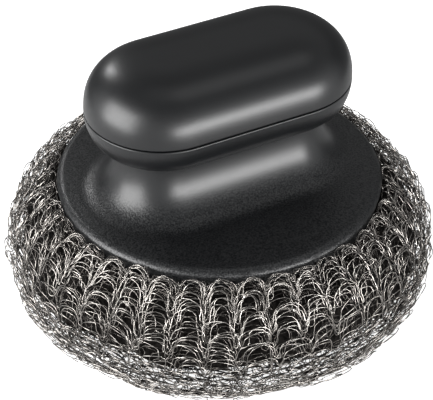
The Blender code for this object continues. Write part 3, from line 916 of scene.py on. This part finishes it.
@dataclass
class Scourer:
    """The cushion of knitted wire: layers of knit over a heart painted dark as the shade inside them.

    Its sections run from under the skirt round the outside, over the foot and up into the knob's recess.
    """

    radius: float = 59.2 * MM
    crest_radius: float = 37.4 * MM
    exponent: float = 1.9
    loft: float = 44.5 * MM
    foot_cut: float = 0.5 * MM
    foot_lift: float = 0.4 * MM
    seat: float = 36.7 * MM
    seat_knit: float = 36.4 * MM
    ceiling: float = 36.3 * MM
    rim: float = 44.95 * MM
    tuck: Section = ((0.0, 1.6 * MM), (0.0, 3.6 * MM), (0.3 * MM, 4.6 * MM), (1.1 * MM, 5.0 * MM))
    tuck_end: float = 2.6 * MM
    recess: float = 18.4 * MM
    recess_top: float = 16.4 * MM
    knob_top: float = 14.2 * MM
    under_end: float = 11.3 * MM
    seat_end: float = 10.3 * MM
    face_stop: float = 6.0 * MM
    inner_stop: float = 3.0 * MM
    foot_start: float = 16.0 * MM
    deep_stop: float = 6.0 * MM
    deep_start: float = 23.0 * MM
    under_start: float = 3.0 * MM
    heart_inset: float = 4.2 * MM
    heart_angles: Span = (1.1, -0.12)
    heart_hollow: Section = (
        (49.5 * MM, 16.0 * MM), (43.0 * MM, 9.0 * MM), (38.5 * MM, 4.5 * MM),
        (33.0 * MM, 2.8 * MM), (24.0 * MM, 15.0 * MM), (22.0 * MM, 19.0 * MM),
    )
    heart_bore: float = 6.3 * MM
    heart_ends: Span = (35.0 * MM, 20.0 * MM)
    heart_points: int = 160
    arc_points: int = 20
    waves: tuple[tuple[float, int, float], ...] = ((0.5, 9, 0.0), (0.3, 23, 1.0), (0.3, 41, 2.0))
    wave_height: float = 2.0 * MM
    wave_band: Span = (14.0 * MM, 24.25 * MM)
    wave_inside: float = 26.4 * MM
    face: KnitLayer = KnitLayer(
        "knit_face", 37, depth=-0.2 * MM, wire_radius=0.125 * MM, wire_sides=4, head_reach=0.4 * MM
    )
    inner: tuple[KnitLayer, ...] = (
        KnitLayer(
            "knit_second", 24, depth=1.3 * MM, wire_radius=0.13 * MM, wales=43, points_per_stitch=10,
            mess=2.0, seed=2,
        ),
        KnitLayer(
            "knit_third", 14, depth=2.9 * MM, wire_radius=0.15 * MM, wales=37, points_per_stitch=10,
            mess=2.0, seed=3,
        ),
    )
    foot: KnitLayer = KnitLayer(
        "knit_foot", 13, depth=0.6 * MM, wire_radius=0.19 * MM, head_rise=1.8 * MM, head_swell=0.3,
        course_spread=0.0, pleat_depth=0.4 * MM, reach_wander=1.8 * MM, lump_reach=1.6 * MM, mess=2.0, seed=6,
    )
    deep: KnitLayer = KnitLayer(
        "knit_deep", 8, depth=4.6 * MM, wire_radius=0.25 * MM, head_rise=1.6 * MM, head_swell=0.3,
        course_spread=0.5, pleat_depth=0.4 * MM, reach_wander=1.6 * MM, lump_reach=2.0 * MM, mess=2.0, seed=7,
    )
    top: KnitLayer = KnitLayer(
        "knit_seat", 16, depth=1.0 * MM, points_per_stitch=9,
        head_reach=0.5 * MM, reach_wander=0.6 * MM, seed=4,
    )
    underside: KnitLayer = KnitLayer(
        "knit_underside", 18, depth=0.6 * MM, points_per_stitch=10, wire_radius=0.14 * MM,
        head_reach=0.7 * MM, reach_wander=0.8 * MM, seed=5,
    )

    def curve(self, start: float, end: float, inset: float, count: int = 61) -> list[Span]:
        """The cushion's outer section.

        Args:
            start: the angle that it starts at, in radians above its widest place.
            end: the angle that it ends at.
            inset: how far it is set in from the outer surface.
            count: how many points it has.

        Returns:
            The points as (radius, height).
        """
        middle = self.loft / 2 - self.foot_cut
        power = 2 / self.exponent
        points = []
        for angle in np.linspace(start, end, count):
            across = (self.radius - self.crest_radius - inset) * math.cos(angle) ** power
            rise = (self.loft / 2 - inset) * math.copysign(abs(math.sin(angle)) ** power, angle)
            points.append((self.crest_radius + across, middle + rise))
        return points

    def foot_angle(self) -> float:
        """The angle below the widest place where the section meets the foot."""
        share = (self.loft / 2 - self.foot_cut) / (self.loft / 2)
        return math.asin(share ** (self.exponent / 2))

    def outer_section(self, stop: float = 0.0, start: float = math.inf) -> list[Span]:
        """The section from under the skirt's rim round the outside to the foot.

        Args:
            stop: the height that it ends above.
            start: the height that it starts below.

        Returns:
            The points as (radius, height).
        """
        across = (self.rim + self.tuck_end - self.crest_radius) / (self.radius - self.crest_radius)
        angle = math.acos(across ** (self.exponent / 2))
        tuck = [(self.rim + out, self.seat + up) for out, up in self.tuck]
        whole = tuck + self.curve(angle, -self.foot_angle(), 0)
        return [point for point in whole if stop < point[1] < start]

    def under_section(self) -> list[Span]:
        """The section from low on the outside, over the foot, in to the recess and along its top.

        Returns:
            The points as (radius, height).
        """
        side = self.outer_section(start=self.under_start)
        foot_outer = side[-1][0]
        foot_inner = 2 * self.crest_radius - foot_outer
        points = [*side, (foot_outer, self.foot_lift), (foot_inner, self.foot_lift)]
        for angle in quarter(self.arc_points)[1:]:
            radius = foot_inner - (foot_inner - self.recess) * math.sin(angle)
            points.append((radius, self.knob_top - (self.knob_top - self.foot_lift) * math.cos(angle)))
        return [*points, (self.recess, self.recess_top), (self.under_end, self.recess_top)]

    def seat_section(self) -> list[Span]:
        """The section under the skirt, from the rim in to the eyelet."""
        return [(self.rim, self.seat_knit), (self.seat_end, self.seat_knit)]

    def line(self, name: str, points: Section) -> Mesh:
        """A section as edges in the XZ plane.

        Args:
            name: the mesh's name.
            points: the section's points as (radius, height).

        Returns:
            The mesh.
        """
        mesh = bpy.data.meshes.new(name)
        edges = [(index, index + 1) for index in range(len(points) - 1)]
        mesh.from_pydata([(radius, 0, height) for radius, height in points], edges, [])
        return mesh

    def heart(self) -> Mesh:
        """The heart, painted dark as the shade deep in the knit, turned about the Z axis and hollow low down,
        where light comes in.

        Returns:
            One closed mesh.
        """
        top, bottom = self.heart_ends
        arc = self.curve(*self.heart_angles, self.heart_inset, self.arc_points)
        section = [(self.heart_bore, top), *arc, *self.heart_hollow, (self.heart_bore, bottom)]
        angles = np.arange(self.heart_points) / self.heart_points * TURN
        uneven = sum(share * np.sin(count * angles + start) for share, count, start in self.waves)
        low, high = self.wave_band
        rings = []
        for radius, height in section:
            wavy = low < height < high and radius > self.wave_inside
            heights = height + uneven * (self.wave_height if wavy else 0.0)
            rings.append(np.stack([radius * np.cos(angles), radius * np.sin(angles), heights], axis=1))
        return ring_mesh("scourer_heart", rings, capped=False)

    def build(self) -> None:
        """Builds the layers of knit and the heart painted dark as shade."""
        wire = WIRE.material()
        # The inner, foot and innermost layers wear darker or retoned copies of the same wire: painted light
        # and shade.
        dull = SHADED_INNER_WIRE.material()
        self.lay(self.face, self.outer_section(self.face_stop), wire)
        for layer in self.inner:
            self.lay(layer, self.outer_section(self.inner_stop), dull)
        self.lay(self.foot, self.outer_section(start=self.foot_start), FOOT_LIT_AND_SHADED_WIRE.material())
        self.lay(self.deep, self.outer_section(self.deep_stop, self.deep_start), INNERMOST_SHADED_WIRE.material())
        self.lay(self.top, self.seat_section(), wire)
        self.lay(self.underside, self.under_section(), wire)
        heart = self.heart()
        heart.materials.append(HEART_SHADE.material())
        add_piece("scourer_heart", heart, Body.SCOURER, ["scourer_core"])

    def lay(self, layer: KnitLayer, section: Section, wire: Material) -> None:
        """Knits one layer on a section.

        Args:
            layer: the layer's sizes.
            section: the section that it follows, as (radius, height).
            wire: the wire's finish.
        """
        tree = layer.tree(floor=layer.wire_radius, skirt=self.rim, ceiling=self.ceiling)
        mesh = tree.run(layer.name, self.line(f"{layer.name}_section", section), wire)
        replaced = ["scourer_sleeve"] if layer is self.face else []
        piece = add_piece(layer.name, mesh, Body.SCOURER, replaced)


@dataclass(frozen=True)
class Softbox:
    """A flat studio light that faces the object."""

    name: str
    azimuth: float
    rise: float
    width: float
    height: float
    radiance: float
    distance: float

    def build(self, aim: Vector) -> None:
        """Places the light.

        Args:
            aim: the point that it faces.
        """
        lamp = bpy.data.lights.new(self.name, "AREA")
        lamp.shape = "RECTANGLE"
        lamp.size = self.width
        lamp.size_y = self.height
        lamp.energy = self.radiance * math.pi * self.width * self.height
        light = put_in_scene(self.name, lamp)
        light.location = direction(self.azimuth, 0) * self.distance + Vector((0, 0, self.rise))
        light.rotation_mode = "QUATERNION"
        light.rotation_quaternion = (aim - light.location).to_track_quat("-Z", "Y")


def direction(azimuth: float, elevation: float) -> Vector:
    """The unit vector at degrees from -Y towards +X and at degrees above the floor."""
    a, e = math.radians(azimuth), math.radians(elevation)
    return Vector((math.sin(a) * math.cos(e), -math.cos(a) * math.cos(e), math.sin(e)))


@dataclass
class Studio:
    """The pale floor, the soft light and the camera."""

    aim: Point = (-0.69 * MM, 0.36 * MM, 32.25 * MM)
    azimuth: float = -27.5
    elevation: float = 37.85
    distance: float = 500 * MM
    lens: float = 149.1
    sensor: float = 36.0
    near: float = 10 * MM
    floor_radius: float = 250 * MM
    floor_points: int = 96
    floor_gap: float = 0.02 * MM
    floor_colour: Colour = (0.72, 0.72, 0.72)
    floor_roughness: float = 0.9
    floor_glow: float = 0.9
    glow_reflected: float = 0.15
    sky: Section = ((0.0, 1.1), (0.34, 0.9), (0.5, 0.6), (0.64, 0.45), (0.8, 0.26), (0.94, 0.22), (0.98, 0.6))
    sky_tint: Colour = (0.98, 0.99, 1.0)
    dark_side: float = 145
    dark_width: Span = (0.1, 0.55)
    dark_height: Span = (0.62, 0.35)
    dark_level: float = 0.16
    lights: tuple[Softbox, ...] = (
        Softbox("softbox_front", 14.5, 0.066, 0.64, 0.21, 15.5, 0.7),
        Softbox("softbox_left", -90, 0.235, 0.62, 0.54, 10.0, 0.7),
        Softbox("lamp_behind", -169, 0.42, 0.08, 0.12, 34.0, 0.7),
        Softbox("softbox_above", 70, 0.72, 0.30, 0.30, 1.0, 0.26),
    )

    def build(self) -> None:
        """Builds the studio."""
        for light in self.lights:
            light.build(Vector(self.aim))
        self.build_camera()
        self.build_floor()
        self.build_world()

    def build_camera(self) -> None:
        """The camera, at the photograph's angle."""
        data = bpy.data.cameras.new("camera")
        data.lens = self.lens
        data.sensor_width = self.sensor
        data.clip_start = self.near
        camera = put_in_scene("camera", data)
        back = direction(self.azimuth, self.elevation)
        camera.location = Vector(self.aim) + back * self.distance
        camera.rotation_mode = "QUATERNION"
        camera.rotation_quaternion = (-back).to_track_quat("-Z", "Y")
        bpy.context.scene.camera = camera

    def seen(self, tree: Tree) -> Socket:
        """How much of the floor's glow a ray meets.

        Args:
            tree: the floor's shading.

        Returns:
            1 for a ray from the camera, and the reflected share for a reflection.
        """
        rays = tree.add("ShaderNodeLightPath", {})
        inputs = {0: rays["Is Glossy Ray"], 1: self.glow_reflected, 2: rays["Is Camera Ray"]}
        return tree.add("ShaderNodeMath", inputs, operation="MULTIPLY_ADD")[0]

    def build_floor(self) -> None:
        """The pale floor, which glows where the camera sees it and keeps the object's shadow."""
        mesh = bpy.data.meshes.new("floor")
        turns = np.arange(self.floor_points) / self.floor_points * TURN
        edge = np.stack([np.cos(turns), np.sin(turns), turns * 0], axis=1) * self.floor_radius
        mesh.from_pydata(edge.tolist(), [], [list(range(self.floor_points))])
        shade = Shade(
            "pale_floor", Base_Color=self.floor_colour, Roughness=self.floor_roughness,
            Specular_IOR_Level=0.0, Emission_Color=WHITE,
        )
        glow = shade.add("ShaderNodeMath", {0: self.seen(shade), 1: self.floor_glow}, operation="MULTIPLY")[0]
        shade.link(glow, "Emission Strength")
        mesh.materials.append(shade.material)
        floor = put_in_scene("floor", mesh)
        floor.location.z = -self.floor_gap

    def strength(self, tree: Tree, place: Socket) -> Socket:
        """How strong the world's light is: weaker low down on the studio's dark side.

        Args:
            tree: the world's tree.
            place: the direction that the light comes from.

        Returns:
            A number from the dark level to 1.
        """
        inputs = {0: place, 1: direction(self.dark_side, 0)}
        away = tree.add("ShaderNodeVectorMath", inputs, operation="DOT_PRODUCT")["Value"]
        height = tree.add("ShaderNodeSeparateXYZ", {"Vector": place})["Z"]
        behind = tree.spread(away, *self.dark_width, eased=True)
        below = tree.spread(height, *self.dark_height, eased=True)
        dark = tree.add("ShaderNodeMath", {0: behind, 1: below}, operation="MULTIPLY")[0]
        return tree.spread(dark, 0.0, 1.0, 1.0, self.dark_level)

    def build_world(self) -> None:
        """The soft light from all round, darkest low behind, and white where the camera sees it."""
        world = bpy.data.worlds.new("studio")
        bpy.context.scene.world = world
        world.use_nodes = True
        tree = Tree(world.node_tree)
        soft = world.node_tree.nodes["Background"]
        place = tree.add("ShaderNodeTexCoord", {})["Generated"]
        upward = tree.add("ShaderNodeSeparateXYZ", {"Vector": place})["Z"]
        colour = tree.add("ShaderNodeValToRGB", {"Fac": upward})["Color"]
        stops = colour.node.color_ramp.elements
        while len(stops) < len(self.sky):
            stops.new(0.5)
        for stop, (height, level) in zip(stops, self.sky):
            stop.position = height
            stop.color = (*(level * part for part in self.sky_tint), 1)
        tree.plug(colour, soft.inputs["Color"])
        tree.plug(self.strength(tree, place), soft.inputs["Strength"])
        white = tree.add("ShaderNodeBackground", {"Color": (*WHITE, 1)})["Background"]
        camera_ray = tree.add("ShaderNodeLightPath", {})["Is Camera Ray"]
        mix = tree.add("ShaderNodeMixShader", {0: camera_ray, 1: soft.outputs[0], 2: white})[0]
        tree.plug(mix, world.node_tree.nodes["World Output"].inputs["Surface"])


def main() -> None:
    """Builds the scene."""
    logging.basicConfig(level=logging.INFO, format="%(name)s: %(message)s")
    bpy.context.scene.view_settings.view_transform = "Standard"
    for name in ("Cube", "Light", "Camera"):
        if name in bpy.data.objects:
            bpy.data.objects.remove(bpy.data.objects[name])
    Studio().build()
    Handle().build()
    Hardware().build()
    Scourer().build()


if __name__ == "__main__":
    main()
